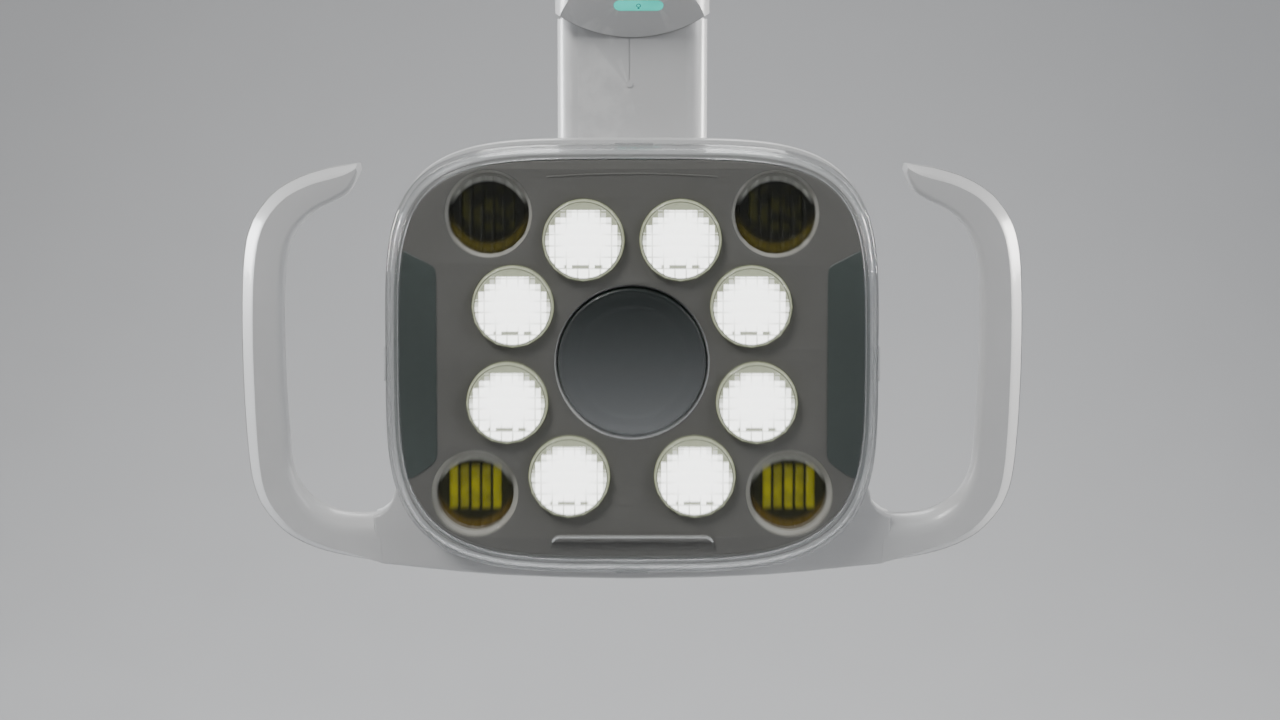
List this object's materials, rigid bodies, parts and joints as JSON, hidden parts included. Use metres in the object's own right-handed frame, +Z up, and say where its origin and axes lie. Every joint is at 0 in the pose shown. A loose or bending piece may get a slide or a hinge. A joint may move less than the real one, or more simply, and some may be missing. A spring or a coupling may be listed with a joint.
{
  "type": "dental operating light",
  "caption": "Dental operating light head: ring of white lenses and amber corner lenses behind a clear shield, two loop handles, tilting neck and swivel arm spigot.",
  "frame": {"origin": "centre of the arm spigot's shoulder, on the vertical swivel axis", "axes": "+Z up along the spigot, -Y out of the lit face towards the patient, +X to the right seen from the front"},
  "size_m": [0.3166, 0.117, 0.3152],
  "materials": {
    "steel": "brushed stainless steel",
    "brass": "turned bearing bronze",
    "nylon_black": "black acetal",
    "shell_grey": "satin light grey moulded shell",
    "face_grey": "fine-textured warm grey moulding",
    "trim_dark": "dark grey-green inlay",
    "cap_dark": "satin dark grey-green cap",
    "lens_white": "clear moulded collimating lens, lit",
    "lens_amber": "amber fluted lens, unlit",
    "cup_white": "white reflector cup",
    "board": "green circuit board",
    "chip": "ceramic emitter package",
    "heat_metal": "extruded aluminium",
    "shield_clear": "clear polycarbonate",
    "sensor_glow": "lit translucent window",
    "cable_black": "rubber cable jacket"
  },
  "bodies": {
    "arm": {"arm_spindle": "steel", "arm_collar": "shell_grey", "yaw_washer": "nylon_black", "yaw_retaining_ring": "steel"},
    "neck": {"neck_frame": "steel", "neck_front_cover": "shell_grey", "neck_rear_cover": "shell_grey", "knuckle_cover": "shell_grey", "sensor_window": "sensor_glow", "sensor_board": "board", "upper_yaw_bush": "brass", "lower_yaw_bush": "brass", "yaw_brake_screw": "steel", "yaw_brake_pad": "nylon_black", "tilt_shaft": "steel", "pivot_caps": "trim_dark", "neck_screws": "steel", "neck_cable": "cable_black"},
    "hub": {"tilt_hub": "steel", "tilt_bushes": "brass", "tilt_friction_washers": "nylon_black", "roll_friction_washer": "nylon_black", "roll_nut": "brass"},
    "shield": {"front_shield": "shield_clear"},
    "head": {"roll_bush": "brass", "rear_housing": "shell_grey", "rear_cover": "trim_dark", "face_plate": "face_grey", "centre_cap": "cap_dark", "left_side_panel": "trim_dark", "right_side_panel": "trim_dark", "white_lens_1": "lens_white", "white_lens_2": "lens_white", "white_lens_3": "lens_white", "white_lens_4": "lens_white", "white_lens_5": "lens_white", "white_lens_6": "lens_white", "white_lens_7": "lens_white", "white_lens_8": "lens_white", "amber_lens_1": "lens_amber", "amber_lens_2": "lens_amber", "amber_lens_3": "lens_amber", "amber_lens_4": "lens_amber", "white_lens_cups": "cup_white", "amber_lens_cups": "cup_white", "led_board": "board", "led_chips": "chip", "heat_sink": "heat_metal", "driver_module": "board", "housing_screws": "steel", "handle_cradle": "shell_grey", "left_handle_front": "shell_grey", "left_handle_rear": "shell_grey", "right_handle_front": "shell_grey", "right_handle_rear": "shell_grey", "handle_screws": "steel"}
  },
  "joints": [
    {"name": "yaw_swivel", "type": "hinge", "parent": "arm", "child": "neck", "pos_m": [0, 0, 0], "axis": [0, 0, 1], "range_deg": [-135, 135]},
    {"name": "head_tilt", "type": "hinge", "parent": "neck", "child": "hub", "pos_m": [0, 0, -0.185], "axis": [1, 0, 0], "range_deg": [-10, 75]},
    {"name": "head_roll", "type": "hinge", "parent": "hub", "child": "head", "pos_m": [0, -0.074, -0.185], "axis": [0, 1, 0], "range_deg": [-35, 35]},
    {"name": "shield_removal", "type": "slide", "parent": "head", "child": "shield", "axis": [0, -1, 0], "range_m": [0, 0.08]}
  ]
}
